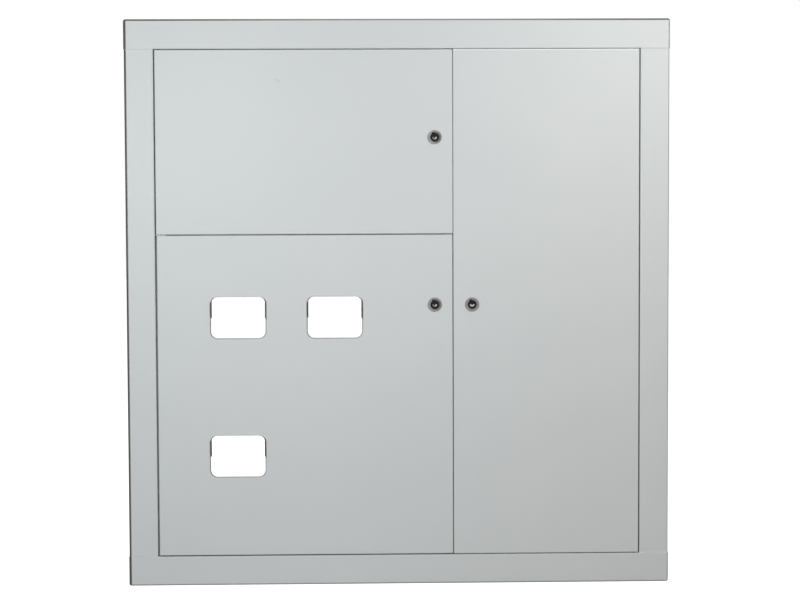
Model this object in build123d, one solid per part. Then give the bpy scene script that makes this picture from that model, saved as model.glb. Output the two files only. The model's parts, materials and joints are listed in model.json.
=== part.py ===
from build123d import *
import math
import os

os.makedirs("parts", exist_ok=True)

# Floor distribution board for a wall niche, seen from the front along +Y.
# The origin is the middle of the back plane, X runs to the right and Z up.

# Overall sizes
board_width = 960.0
board_height = 1000.0
board_depth = 150.0

# Sheet thicknesses and bends
frame_sheet = 1.5
door_sheet = 1.2
cover_sheet = 1.0
rail_sheet = 1.0
bend_inside = 0.8
seam = 0.3

# Trim frame
rail_face = 52.0
stile_face = 51.0
stile_inset = 0.8
outer_lip = 12.0
trim_corner = 4.0
joint_tab = 12.0
joint_tab_inset = 6.0
door_recess = 20.0
stop_width = 12.0

# Box behind the trim
body_margin = 13.0
wall_front_flange = 23.0
wall_rear_flange = 30.0
anchor_hole = 10.0
anchor_spacing_z = 800.0

# Cable ways
power_way_width = 220.0
signal_way_width = 120.0
way_depth = 60.0
way_from_back = 65.0
way_corner = 12.0
side_hole = 32.0
side_hole_pitch = 60.0
side_hole_rise = 40.0
side_hole_from_back = 30.0
side_hole_count = 3

# Strips that the doors close on
hat_face = 30.0
hat_depth = 7.0
partition_flange = 25.0

# Doors
upper_left_gap = 2.0
meter_left_gap = 3.0
right_gap = 1.9
upper_middle_gap = 0.8
meter_middle_gap = 1.3
upper_top_gap = 1.4
tall_top_gap = 0.8
mid_gap = 1.6
meter_bottom_gap = 1.7
tall_bottom_gap = 1.2
tall_door_width = 329.1
upper_door_height = 323.5
door_depth = 15.0
door_edge_radius = 1.6
stiffener_width = 24.0
stiffener_flange = 10.0
stiffener_depth = 12.0
stiffener_inset = 30.0

# Windows of the meter door
window_width = 96.0
window_height = 72.5
window_corner = 12.0
window_side = 142.2
window_drop = 145.3
window_pitch_x = 170.5
window_pitch_z = 245.8
lower_window_shift = -2.0

# Clips beside the windows
clip_height = 33.0
clip_drop = 4.4
clip_reach = 1.2
clip_foot = 8.0
clip_step = 4.0
clip_slot = 4.0

# Hinges
pin_diameter = 5.0
pin_clearance = 0.08
pin_from_edge = 8.0
pin_from_face = 5.0
pin_projection = 3.0
pin_collar = 7.0
pin_collar_height = 3.0
tab_depth = 25.0
tab_sheet = 2.0
tab_width = 13.0
tab_length = 11.0
bracket_sheet = 1.0
bracket_length = 20.0
bracket_front = 1.0
bracket_corner = 5.0

# Locks
lock_setback = 31.7
tall_lock_setback = 33.1
upper_lock_rise = 169.5
meter_lock_drop = 123.9
bezel_diameter = 24.5
bezel_thickness = 2.5
bezel_chamfer = 0.8
barrel_diameter = 19.5
barrel_length = 28.0
barrel_clearance = 0.25
keyway_diameter = 15.0
keyway_depth = 8.5
keyway_notch_width = 4.4
keyway_notch_depth = 2.0
keyway_notch_turn = 20.0
rotor_clearance = 0.08
rotor_disc = 3.0
rotor_post = 8.0
rotor_post_recess = 0.9
rotor_groove = 2.4
rotor_cut_height = 0.5
stem_diameter = 11.0
stem_projection = 1.5
square_side = 7.5
square_clearance = 0.1
cam_sheet = 2.5
cam_width = 16.0
cam_reach = 28.0
cam_screw_head = 10.0
cam_screw_height = 3.5
cam_screw_shank = 5.0
cam_screw_length = 10.0
nut_across_flats = 24.0
nut_thickness = 5.0

# Earth studs
stud_diameter = 6.0
stud_length = 12.0
stud_flange = 10.0
stud_flange_thickness = 1.5
stud_inset = 40.0

# Inner frame of the power section
upright_inset = 20.0
upright_front = 18.0
upright_rear = 30.0
rail_plane = 56.0
device_depth = 43.0
rail_end_gap = 1.0
meter_rail_height = 30.0
meter_rail_depth = 10.0
meter_rail_above = 65.0
meter_rail_below = 85.0
terminal_rail_drop = 36.0
slot_length = 34.0
slot_width = 6.5
slot_corner = 3.2
slot_count = 5

# Breaker section
din_height = 35.0
din_depth = 7.5
din_channel = 27.0
din_offset = 70.0
cover_gap = 3.0
cover_depth = 12.0
module_width = 18.0
module_count = 24
module_slot_height = 46.0
module_slot_corner = 2.0
cover_screw_inset = 20.0
cover_screw_head = 9.5
cover_screw_height = 3.0
cover_screw_shank = 4.8
cover_screw_length = 8.0
screw_clearance = 0.3
thread_clearance = 0.05

# Terminal bars
bar_length = 130.0
bar_height = 10.0
bar_thickness = 7.0
bar_hole = 5.4
bar_holes = 8
bar_hole_pitch = 10.5
bar_from_middle = 100.0
support_width = 14.0
support_height = 24.0
support_depth = 16.0
support_from_end = 14.0
support_saddle = 4.0
support_lip = 2.0

# Low-current section
plate_plane = 50.0
plate_height = 400.0
plate_flange = 20.0
plate_columns = 3
plate_rows = 4
plate_pitch_x = 84.0
plate_pitch_z = 90.0

# Planes and edges worked out from the sizes above
front_y = -board_depth
stop_y = front_y + door_recess
wall_front_y = stop_y + frame_sheet
door_back_y = front_y + door_sheet
opening_x = board_width / 2 - stile_inset - stile_face
opening_z = board_height / 2 - rail_face
body_x = opening_x + body_margin
body_z = opening_z + body_margin
inner_x = body_x - frame_sheet
inner_z = body_z - frame_sheet
mullion_x = opening_x - right_gap - tall_door_width - meter_middle_gap / 2
transom_z = opening_z - upper_top_gap - upper_door_height - mid_gap / 2
anchor_x = body_x - wall_rear_flange / 2

tall_left = opening_x - right_gap - tall_door_width
upper_low = transom_z + mid_gap / 2
meter_high = transom_z - mid_gap / 2
upper_left = -opening_x + upper_left_gap
meter_left = -opening_x + meter_left_gap
meter_low = -opening_z + meter_bottom_gap
upper_box = (upper_left, tall_left - upper_middle_gap, upper_low, opening_z - upper_top_gap)
meter_box = (meter_left, tall_left - meter_middle_gap, meter_low, meter_high)
tall_box = (tall_left, opening_x - right_gap, -opening_z + tall_bottom_gap, opening_z - tall_top_gap)

pin_y = front_y + pin_from_face
left_pin_x = upper_box[0] + pin_from_edge
right_pin_x = tall_box[1] - pin_from_edge
lock_level_z = meter_box[3] - meter_lock_drop
upper_lock = (upper_box[1] - lock_setback, upper_box[2] + upper_lock_rise)
meter_lock = (meter_box[1] - lock_setback, lock_level_z)
tall_lock = (tall_box[0] + tall_lock_setback, lock_level_z)

window_x = meter_box[0] + window_side
window_z = meter_box[3] - window_drop
windows = [
    (window_x, window_z),
    (window_x + window_pitch_x, window_z),
    (window_x + lower_window_shift, window_z - window_pitch_z),
]

rail_y = -rail_plane
din_front_y = rail_y - din_depth
cover_back_y = din_front_y - device_depth
cover_left = -opening_x + stop_width + cover_gap
cover_right = mullion_x - hat_face / 2 - cover_gap
cover_low = transom_z + hat_face / 2 + cover_gap
cover_high = opening_z - stop_width - cover_gap
upright_left_x = -opening_x + upright_inset
upright_right_x = mullion_x - upright_inset
rails_left = upright_left_x + frame_sheet + rail_end_gap
rails_right = upright_right_x - frame_sheet - rail_end_gap
rails_middle = (rails_left + rails_right) / 2
power_middle = (mullion_x - inner_x) / 2
signal_middle = (mullion_x + inner_x) / 2
cover_middle_z = (cover_low + cover_high) / 2


def block(low, high):
    """A box between two corners."""
    size = [high[i] - low[i] for i in range(3)]
    middle = [(high[i] + low[i]) / 2 for i in range(3)]
    return Pos(*middle) * Box(*size)


def rod_x(start, length, radius):
    """A cylinder along +X that starts at a point."""
    base = (Align.CENTER, Align.CENTER, Align.MIN)
    return Pos(*start) * Rot(0, 90, 0) * Cylinder(radius, length, align=base)


def rod_y(start, length, radius):
    """A cylinder along +Y that starts at a point."""
    base = (Align.CENTER, Align.CENTER, Align.MIN)
    return Pos(*start) * Rot(-90, 0, 0) * Cylinder(radius, length, align=base)


def rod_z(start, length, radius):
    """A cylinder along +Z that starts at a point."""
    base = (Align.CENTER, Align.CENTER, Align.MIN)
    return Pos(*start) * Cylinder(radius, length, align=base)


def slot_y(centre, start_y, length_y, slot_size, slot_high, corner):
    """A cutter along +Y with a rounded rectangle as its section."""
    outline = RectangleRounded(slot_size, slot_high, corner)
    face = Plane((centre[0], start_y, centre[1]), x_dir=(1, 0, 0), z_dir=(0, -1, 0)) * outline
    return extrude(face, -length_y)


def folded_section(path, sheet, inside):
    """A folded sheet's section: the path is one face of it, the metal lies to the left."""
    steps = []
    for start, end in zip(path, path[1:]):
        length = math.dist(start, end)
        steps.append(((end[0] - start[0]) / length, (end[1] - start[1]) / length))
    normals = [(-step[1], step[0]) for step in steps]
    other = [(path[0][0] + sheet * normals[0][0], path[0][1] + sheet * normals[0][1])]
    bends = []
    for point, before, after in zip(path[1:], normals, normals[1:]):
        share = sheet / (1 + before[0] * after[0] + before[1] * after[1])
        offset = (point[0] + share * (before[0] + after[0]), point[1] + share * (before[1] + after[1]))
        left_turn = before[0] * after[1] - before[1] * after[0] > 0
        bends.append((offset, point) if left_turn else (point, offset))
        other.append(offset)
    other.append((path[-1][0] + sheet * normals[-1][0], path[-1][1] + sheet * normals[-1][1]))
    face = make_face(Polyline(*path, *reversed(other[:len(path)]), close=True))
    if inside > 0:
        for inner, outer in bends[:len(steps) - 1]:
            face = round_corner(face, inner, inside)
            face = round_corner(face, outer, inside + sheet)
    return face


def round_corner(face, corner, radius):
    """One corner of a flat face rounded."""
    nearest = face.vertices().sort_by_distance((corner[0], corner[1], 0))[0]
    return fillet(nearest, radius)


def strip_along_x(path_yz, sheet, x_low, x_high, inside=bend_inside):
    """A folded strip that runs along X, its path given as (y, z)."""
    face = Pos(x_low, 0, 0) * (Plane.YZ * folded_section(path_yz, sheet, inside))
    return extrude(face, x_high - x_low, dir=(1, 0, 0))


def strip_along_z(path_xy, sheet, z_low, z_high, inside=bend_inside):
    """A folded strip that runs along Z, its path given as (x, y)."""
    face = Pos(0, 0, z_low) * folded_section(path_xy, sheet, inside)
    return extrude(face, z_high - z_low, dir=(0, 0, 1))


def trim_bar():
    """Top bar of the trim: full width, closed ends, and a door stop over the opening."""
    half = board_width / 2
    top = board_height / 2
    bend_outside = bend_inside + frame_sheet
    shell = block((-half, front_y, opening_z), (half, front_y + outer_lip, top))
    lip_corners = shell.edges().filter_by(Axis.Y).filter_by_position(Axis.Z, top, top)
    shell = fillet(lip_corners, trim_corner)
    front_edges = shell.edges().filter_by_position(Axis.Y, front_y, front_y)
    rounded = [edge for edge in front_edges if edge.center().Z > opening_z + seam]
    shell = fillet(rounded, bend_outside)
    pocket_top = top - frame_sheet
    pocket = block(
        (-half + frame_sheet, front_y + frame_sheet, opening_z - 1),
        (half - frame_sheet, front_y + outer_lip + 1, pocket_top),
    )
    pocket_corners = pocket.edges().filter_by(Axis.Y).filter_by_position(Axis.Z, pocket_top, pocket_top)
    shell -= fillet(pocket_corners, trim_corner - frame_sheet)
    bend_zone = opening_z + 2 * bend_outside
    shell -= block((-opening_x, front_y - 1, opening_z - 1), (opening_x, stop_y, bend_zone))
    path = [
        (front_y, bend_zone),
        (front_y, opening_z),
        (stop_y, opening_z),
        (stop_y, opening_z - stop_width),
    ]
    bar = shell + strip_along_x(path, frame_sheet, -opening_x, opening_x)
    for pin_x in (left_pin_x, right_pin_x):
        hole = rod_z((pin_x, pin_y, opening_z - 1), frame_sheet + 2, pin_diameter / 2 + pin_clearance)
        bar -= hole
    return bar


def trim_stile():
    """Left stile of the trim, butted between the bars, with a tab behind each joint."""
    outer_x = -(board_width / 2 - stile_inset)
    path = [
        (outer_x, front_y + outer_lip),
        (outer_x, front_y),
        (-opening_x, front_y),
        (-opening_x, stop_y),
        (-opening_x + stop_width, stop_y),
    ]
    high = opening_z - seam
    stile = strip_along_z(path, frame_sheet, -high, high)
    notch_z = opening_z - stop_width - seam
    for low_z, high_z in ((notch_z, opening_z), (-opening_z, -notch_z)):
        stile -= block(
            (-opening_x, stop_y - 2 * bend_inside, low_z),
            (-opening_x + stop_width + 1, wall_front_y + 1, high_z),
        )
    tab_y = front_y + frame_sheet
    for low_z, high_z in ((high - joint_tab, high + joint_tab), (-high - joint_tab, -high + joint_tab)):
        stile += block(
            (outer_x + joint_tab_inset, tab_y, low_z),
            (-opening_x - joint_tab_inset, tab_y + frame_sheet, high_z),
        )
    return stile


def side_wall():
    """Left wall of the box, with its flanges notched where the top and bottom walls meet it."""
    path = [
        (-body_x + wall_rear_flange, 0),
        (-body_x, 0),
        (-body_x, wall_front_y),
        (-body_x + wall_front_flange, wall_front_y),
    ]
    wall = strip_along_z(path, frame_sheet, -body_z, body_z)
    notch_z = inner_z - seam
    for low_z, high_z in ((notch_z, body_z + 1), (-body_z - 1, -notch_z)):
        wall -= block((-inner_x, wall_front_y - 1, low_z), (0, 1, high_z))
    for anchor_z in (-anchor_spacing_z / 2, anchor_spacing_z / 2):
        wall -= rod_y((-anchor_x, -frame_sheet - 1, anchor_z), frame_sheet + 2, anchor_hole / 2)
    return wall


def end_wall():
    """Top wall of the box, between the side walls, with two cable ways."""
    path = [
        (0, body_z - wall_rear_flange),
        (0, body_z),
        (wall_front_y, body_z),
        (wall_front_y, body_z - wall_front_flange),
    ]
    wall = strip_along_x(path, frame_sheet, -inner_x, inner_x)
    rear_end = body_x - wall_rear_flange - seam
    front_end = body_x - wall_front_flange - seam
    low_z = body_z - wall_rear_flange - 1
    for side in (-1, 1):
        outside = side * (inner_x + 1)
        rear = sorted((side * rear_end, outside))
        front = sorted((side * front_end, outside))
        wall -= block((rear[0], -way_from_back, low_z), (rear[1], 1, inner_z))
        wall -= block((front[0], wall_front_y - 1, low_z), (front[1], -way_from_back, inner_z))
    for middle, width in ((power_middle, power_way_width), (signal_middle, signal_way_width)):
        opening = extrude(RectangleRounded(width, way_depth, way_corner), 4 * frame_sheet)
        wall -= Pos(middle, -way_from_back, inner_z - frame_sheet) * opening
    return wall


def partition_wall():
    """Wall between the power and the low-current sections."""
    half = frame_sheet / 2
    back_y = -frame_sheet
    path = [
        (mullion_x + partition_flange, back_y),
        (mullion_x - half, back_y),
        (mullion_x - half, wall_front_y),
    ]
    wall = strip_along_z(path, frame_sheet, -inner_z, inner_z)
    flange_z = body_z - wall_front_flange - seam
    bend_z = inner_z - 2 * bend_inside
    for side in (-1, 1):
        outside = side * (inner_z + 1)
        front_low, front_high = sorted((side * flange_z, outside))
        rear_low, rear_high = sorted((side * bend_z, outside))
        front = wall_front_y + frame_sheet + 2 * bend_inside
        rear = back_y - frame_sheet - bend_inside
        left = mullion_x - frame_sheet
        right = mullion_x + partition_flange + frame_sheet
        wall -= block((left, wall_front_y - 1, front_low), (right, front, front_high))
        wall -= block((left, rear, rear_low), (right, 0, rear_high))
    return wall


def hat_strip(middle, low, high, upright):
    """A strip that a door closes on, a hat in section."""
    path = [
        (middle - hat_face / 2, stop_y + hat_depth),
        (middle - hat_face / 2, stop_y),
        (middle + hat_face / 2, stop_y),
        (middle + hat_face / 2, stop_y + hat_depth),
    ]
    if upright:
        return strip_along_z(path, frame_sheet, low, high)
    across = [(depth, place) for place, depth in reversed(path)]
    return strip_along_x(across, frame_sheet, low, high)


def upright():
    """Left upright of the inner frame, a C in section."""
    x = upright_left_x
    back_y = rail_y + frame_sheet
    path = [
        (x + upright_rear, back_y),
        (x, back_y),
        (x, cover_back_y),
        (x + upright_front, cover_back_y),
    ]
    return strip_along_z(path, frame_sheet, -inner_z, inner_z)


def cover_screw_places(side_x):
    """Where the cover's screws meet one upright."""
    return [(side_x, cover_low + cover_screw_inset), (side_x, cover_high - cover_screw_inset)]


left_screw_x = upright_left_x + upright_front / 2
right_screw_x = upright_right_x - upright_front / 2
cover_screw_points = cover_screw_places(left_screw_x) + cover_screw_places(right_screw_x)


def with_cover_holes(piece, start_y, radius):
    """A piece with the cover screws' holes cut through it."""
    for x, z in cover_screw_points:
        piece -= rod_y((x, start_y, z), 4 * frame_sheet, radius)
    return piece


def meter_rail(z):
    """Slotted rail, a C open to the front, seated on the uprights."""
    half = meter_rail_height / 2
    front = rail_y - meter_rail_depth
    path = [(front, z - half), (rail_y, z - half), (rail_y, z + half), (front, z + half)]
    rail = strip_along_x(path, frame_sheet, rails_left, rails_right)
    pitch = (rails_right - rails_left) / (slot_count + 1)
    for i in range(slot_count):
        x = rails_left + pitch * (i + 1)
        rail -= slot_y((x, z), rail_y - 2 * frame_sheet, 4 * frame_sheet, slot_length, slot_width,
                       slot_corner)
    return rail


def din_rail(z):
    """Top-hat rail of the breakers."""
    half = din_height / 2
    channel = din_channel / 2
    base_y = rail_y - rail_sheet
    path = [
        (din_front_y, z + half),
        (din_front_y, z + channel),
        (base_y, z + channel),
        (base_y, z - channel),
        (din_front_y, z - channel),
        (din_front_y, z - half),
    ]
    return strip_along_x(path, rail_sheet, rails_left, rails_right, bend_inside / 2)


def breaker_cover():
    """Cover over the breakers, folded back at both sides, with a slot for each row of modules."""
    front = cover_back_y - cover_sheet
    back = front + cover_depth
    path = [(cover_left, back), (cover_left, front), (cover_right, front), (cover_right, back)]
    cover = strip_along_z(path, cover_sheet, cover_low, cover_high)
    width = module_width * module_count
    for z in (cover_middle_z - din_offset, cover_middle_z + din_offset):
        cover -= slot_y((rails_middle, z), front - 1, cover_sheet + 2, width, module_slot_height,
                        module_slot_corner)
    return with_cover_holes(cover, front - 1, cover_screw_shank / 2 + screw_clearance)


def pan(edges, front, back, sheet):
    """A folded tray that is open at the back."""
    x_low, x_high, z_low, z_high = edges
    tray = block((x_low, front, z_low), (x_high, back, z_high))
    front_edges = tray.edges().filter_by_position(Axis.Y, front, front)
    corner_edges = tray.edges().filter_by(Axis.Y)
    tray = fillet(list(front_edges) + list(corner_edges), door_edge_radius)
    inside = block(
        (x_low + sheet, front + sheet, z_low + sheet),
        (x_high - sheet, back + 1, z_high - sheet),
    )
    return tray - inside


def cover_screws():
    """Pan-head screws of the breaker cover."""
    screws = []
    head_y = cover_back_y - cover_sheet - cover_screw_height
    for x, z in cover_screw_points:
        head = rod_y((x, head_y, z), cover_screw_height, cover_screw_head / 2)
        rim = head.edges().filter_by_position(Axis.Y, head_y, head_y)
        head = chamfer(rim, cover_screw_height / 3)
        shank_y = head_y + cover_screw_height
        screws.append(head + rod_y((x, shank_y, z), cover_screw_length, cover_screw_shank / 2))
    return screws


def terminal_bar(middle):
    """Brass bar with a row of wire holes."""
    top_y = rail_y - frame_sheet - support_depth
    z = terminal_rail_z
    half = bar_height / 2
    bar = block(
        (middle - bar_length / 2, top_y - bar_thickness + support_saddle, z - half),
        (middle + bar_length / 2, top_y + support_saddle, z + half),
    )
    centre_y = top_y + support_saddle - bar_thickness / 2
    for i in range(bar_holes):
        x = middle + (i - (bar_holes - 1) / 2) * bar_hole_pitch
        bar -= rod_z((x, centre_y, z - half - 1), bar_height + 2, bar_hole / 2)
    return bar


def bar_supports(middle):
    """Insulating supports, each with a saddle that holds the bar."""
    supports = []
    base_y = rail_y - frame_sheet
    top_y = base_y - support_depth
    z = terminal_rail_z
    reach = bar_length / 2 - support_from_end
    for x in (middle - reach, middle + reach):
        half = support_width / 2
        foot = support_height / 2
        profile = Polyline(
            (base_y, z - foot),
            (base_y, z + foot),
            (base_y - support_depth / 3, z + foot),
            (top_y, z + bar_height / 2 + support_lip),
            (top_y, z + bar_height / 2),
            (top_y + support_saddle, z + bar_height / 2),
            (top_y + support_saddle, z - bar_height / 2),
            (top_y, z - bar_height / 2),
            (top_y, z - bar_height / 2 - support_lip),
            (base_y - support_depth / 3, z - foot),
            close=True,
        )
        face = Pos(x - half, 0, 0) * (Plane.YZ * make_face(profile))
        supports.append(extrude(face, support_width, dir=(1, 0, 0)))
    return supports


def signal_plate():
    """Slotted mounting plate of the low-current section."""
    left = mullion_x + frame_sheet / 2
    right = inner_x
    plate_y = -plate_plane
    flange_y = plate_y + plate_flange
    path = [(left, flange_y), (left, plate_y), (right, plate_y), (right, flange_y)]
    plate = strip_along_z(path, frame_sheet, -plate_height / 2, plate_height / 2)
    for column in range(plate_columns):
        for row in range(plate_rows):
            x = signal_middle + (column - (plate_columns - 1) / 2) * plate_pitch_x
            z = (row - (plate_rows - 1) / 2) * plate_pitch_z
            plate -= slot_y((x, z), plate_y - 1, frame_sheet + 2, slot_length, slot_width,
                            slot_corner)
    return plate


def hinge_bracket():
    """Middle hinge plate in the gap between the two left doors."""
    plate = block(
        (-opening_x, front_y + bracket_front, transom_z - bracket_sheet / 2),
        (-opening_x + bracket_length, stop_y, transom_z + bracket_sheet / 2),
    )
    front_corner = plate.edges().filter_by(Axis.Z).sort_by_distance((0, front_y, transom_z))[0]
    plate = fillet(front_corner, bracket_corner)
    bend_corner = plate.edges().filter_by(Axis.Z).sort_by_distance((-body_x, stop_y, transom_z))[0]
    plate = fillet(bend_corner, 2 * bend_inside)
    hole_low = transom_z - bracket_sheet
    return plate - rod_z((left_pin_x, pin_y, hole_low), 2 * bracket_sheet, pin_diameter / 2)


def hinge_bracket_pin():
    """Pin of the middle hinge, up into one door and down into the other."""
    reach = mid_gap / 2 + tab_depth + tab_sheet + pin_projection
    return rod_z((left_pin_x, pin_y, transom_z - reach), 2 * reach, pin_diameter / 2)


def earth_stud(x, z):
    """Welded stud on the back of a door."""
    stud = rod_y((x, door_back_y, z), stud_length, stud_diameter / 2)
    return stud + rod_y((x, door_back_y, z), stud_flange_thickness, stud_flange / 2)


def body_earth_stud():
    """Welded stud on the bottom wall of the box."""
    x = power_middle
    y = wall_front_y + stud_inset / 2
    stud = rod_z((x, y, -inner_z), stud_length, stud_diameter / 2)
    return stud + rod_z((x, y, -inner_z), stud_flange_thickness, stud_flange / 2)


def door_panel(edges, pin_x, lock):
    """Folded door with its pin holes and lock hole."""
    panel = pan(edges, front_y, front_y + door_depth, door_sheet)
    for z in (edges[2], edges[3]):
        hole_low = z - 2 * door_sheet
        panel -= rod_z((pin_x, pin_y, hole_low), 4 * door_sheet, pin_diameter / 2 + pin_clearance)
    hole = barrel_diameter / 2 + barrel_clearance
    return panel - rod_y((lock[0], front_y - 1, lock[1]), door_sheet + 2, hole)


def pin_tabs(edges, pin_x):
    """Guides welded inside a door's hinge corners, each with a pin hole."""
    inner_edge = edges[0] + door_sheet if pin_x < 0 else edges[1] - door_sheet
    reach = tab_width if pin_x < 0 else -tab_width
    x_low, x_high = sorted((inner_edge, inner_edge + reach))
    tabs = []
    radius = pin_diameter / 2 + pin_clearance
    for z_low in (edges[2] + tab_depth, edges[3] - tab_depth - tab_sheet):
        tab = block((x_low, door_back_y, z_low), (x_high, door_back_y + tab_length, z_low + tab_sheet))
        tabs.append(tab - rod_z((pin_x, pin_y, z_low - 1), tab_sheet + 2, radius))
    return tabs


def hinge_pin(pin_x, edge_z, gap, up):
    """Door pin with a collar inside and its end through the trim's lip."""
    reach = gap + frame_sheet + pin_projection
    inside = tab_depth + tab_sheet + pin_collar_height
    low = -inside if up else -reach
    pin = rod_z((pin_x, pin_y, edge_z + low), inside + reach, pin_diameter / 2)
    collar_z = edge_z - inside if up else edge_z + inside - pin_collar_height
    return pin + rod_z((pin_x, pin_y, collar_z), pin_collar_height, pin_collar / 2)


def stiffener(x, z_low, z_high):
    """Hat-section stiffener welded to the back of a door."""
    half = stiffener_width / 2
    crown = door_back_y + stiffener_depth - rail_sheet
    path = [
        (x - half - stiffener_flange, door_back_y),
        (x - half, door_back_y),
        (x - half, crown),
        (x + half, crown),
        (x + half, door_back_y),
        (x + half + stiffener_flange, door_back_y),
    ]
    return strip_along_z(path, rail_sheet, z_low + stiffener_inset, z_high - stiffener_inset)


def window_clips():
    """Bent clips at both sides of each window, their lips showing at its upper corners."""
    clips = []
    for x, z in windows:
        edge = x + window_width / 2
        high = z + window_height / 2 - clip_drop
        path = [
            (edge - clip_reach, door_back_y + clip_slot),
            (edge + clip_step, door_back_y + clip_slot),
            (edge + clip_step, door_back_y),
            (edge + clip_step + clip_foot, door_back_y),
        ]
        clip = strip_along_z(path, rail_sheet, high - clip_height, high, bend_inside / 2)
        other = mirror(clip, Plane((x, 0, 0), z_dir=(1, 0, 0)))
        clips += [clip, other]
    return clips


def lock_housing(lock):
    """Lock body: bezel in front of the door, keyway bore, index notch and barrel."""
    x, z = lock
    bezel = rod_y((x, front_y - bezel_thickness, z), bezel_thickness, bezel_diameter / 2)
    rim = bezel.edges().filter_by_position(Axis.Y, front_y - bezel_thickness, front_y - bezel_thickness)
    bezel = chamfer(rim, bezel_chamfer)
    face_y = front_y - bezel_thickness
    housing = bezel + rod_y((x, front_y, z), barrel_length, barrel_diameter / 2)
    housing -= rod_y((x, face_y - 1, z), keyway_depth + rotor_disc + 1, keyway_diameter / 2)
    housing -= rod_y((x, face_y, z), barrel_length + 2 * bezel_thickness, stem_diameter / 2)
    notch = block(
        (-keyway_notch_width / 2, face_y - 1, 0),
        (keyway_notch_width / 2, face_y + keyway_depth, keyway_diameter / 2 + keyway_notch_depth),
    )
    return housing - Pos(x, 0, z) * Rot(0, -keyway_notch_turn, 0) * notch


def lock_rotor(lock):
    """Turning core: half post with a groove, disc, stem and square end."""
    x, z = lock
    face_y = front_y - bezel_thickness
    disc_y = face_y + keyway_depth
    post_y = face_y + rotor_post_recess
    stem_end = front_y + barrel_length + stem_projection
    rotor = rod_y((x, post_y, z), disc_y - post_y, rotor_post / 2)
    rotor += rod_y((x, disc_y, z), rotor_disc, keyway_diameter / 2 - rotor_clearance)
    stem_start = disc_y + rotor_disc
    rotor += rod_y((x, stem_start, z), stem_end - stem_start, stem_diameter / 2 - rotor_clearance)
    half = square_side / 2
    rotor += block((x - half, stem_end, z - half), (x + half, stem_end + cam_sheet, z + half))
    rotor -= rod_y((x, post_y - 1, z), disc_y - post_y + 1, rotor_groove / 2)
    cut_z = z + rotor_cut_height
    rotor -= block((x - rotor_post, post_y - 1, cut_z), (x + rotor_post, disc_y, z + rotor_post))
    rotor -= block((x - rotor_groove / 2, post_y - 1, z), (x + rotor_groove / 2, disc_y, z + rotor_post))
    bore_y = stem_end + cam_sheet - cam_screw_length
    return rotor - rod_y((x, bore_y, z), cam_screw_length + 1, cam_screw_shank / 2)


def lock_nut(lock):
    """Hexagon nut that clamps the lock body to the door."""
    x, z = lock
    hexagon = RegularPolygon(nut_across_flats / 2, 6, major_radius=False)
    face = Plane((x, door_back_y, z), x_dir=(1, 0, 0), z_dir=(0, -1, 0)) * hexagon
    bore = rod_y((x, door_back_y - 1, z), nut_thickness + 2, barrel_diameter / 2)
    return extrude(face, -nut_thickness) - bore


def lock_cam(lock):
    """Cam plate on the rotor's square, pointing down when the door is free."""
    x, z = lock
    start = front_y + barrel_length + stem_projection
    half = cam_width / 2
    arm = rod_y((x, start, z), cam_sheet, half)
    arm += block((x - half, start, z - cam_reach + half), (x + half, start + cam_sheet, z))
    arm += rod_y((x, start, z - cam_reach + half), cam_sheet, half)
    hole = square_side / 2 + square_clearance
    return arm - block((x - hole, start - 1, z - hole), (x + hole, start + cam_sheet + 1, z + hole))


def cam_screw(lock):
    """Screw that holds the cam on the rotor."""
    x, z = lock
    seat = front_y + barrel_length + stem_projection + cam_sheet
    head = rod_y((x, seat, z), cam_screw_height, cam_screw_head / 2)
    rim = head.edges().filter_by_position(Axis.Y, seat + cam_screw_height, seat + cam_screw_height)
    head = chamfer(rim, cam_screw_height / 3)
    return head + rod_y((x, seat - cam_screw_length, z), cam_screw_length, cam_screw_shank / 2)


def save(name, pieces):
    """Write one node: a solid, or a group of separate solids."""
    solids = []
    for piece in pieces if isinstance(pieces, list) else [pieces]:
        solids += list(piece.solids())
    whole = solids[0] if len(solids) == 1 else Compound(children=solids)
    export_step(whole, os.path.join("parts", name + ".step"))


# Trim and box
bar = trim_bar()
stile = trim_stile()
wall = side_wall()
end = end_wall()
left_wall = wall
for i in range(side_hole_count):
    hole_z = transom_z + side_hole_rise + (i + 1) * side_hole_pitch
    left_wall -= rod_x((-body_x - 1, -side_hole_from_back, hole_z), frame_sheet + 2, side_hole / 2)
save("trim_top", bar)
save("trim_bottom", mirror(bar, Plane.XY))
save("trim_left", stile)
save("trim_right", mirror(stile, Plane.YZ))
save("left_wall", left_wall)
save("right_wall", mirror(wall, Plane.YZ))
save("top_wall", end)
save("bottom_wall", mirror(end, Plane.XY))
save("partition", partition_wall())
save("mullion", hat_strip(mullion_x, -opening_z + stop_width, opening_z - stop_width, True))
save("transom", hat_strip(transom_z, -opening_x + stop_width, mullion_x - hat_face / 2, False))
save("hinge_bracket", hinge_bracket())
save("hinge_bracket_pin", hinge_bracket_pin())
save("body_earth_stud", body_earth_stud())

# Inner frame and what it carries
screw_hole = cover_screw_shank / 2 + thread_clearance
left_upright = upright()
right_upright = mirror(left_upright, Plane.YZ.offset((upright_left_x + upright_right_x) / 2))
save("upright_left", with_cover_holes(left_upright, cover_back_y - 1, screw_hole))
save("upright_right", with_cover_holes(right_upright, cover_back_y - 1, screw_hole))
terminal_rail_z = transom_z - terminal_rail_drop
save("terminal_rail", meter_rail(terminal_rail_z))
rail_levels = []
for row_z in (window_z, window_z - window_pitch_z):
    rail_levels += [row_z + meter_rail_above, row_z - meter_rail_below]
for number, level in enumerate(rail_levels, start=1):
    save(f"meter_rail_{number}", meter_rail(level))
save("din_rail_upper", din_rail(cover_middle_z + din_offset))
save("din_rail_lower", din_rail(cover_middle_z - din_offset))
save("breaker_cover", breaker_cover())
save("cover_screws", cover_screws())
save("neutral_bar", terminal_bar(rails_middle - bar_from_middle))
save("neutral_supports", bar_supports(rails_middle - bar_from_middle))
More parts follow.
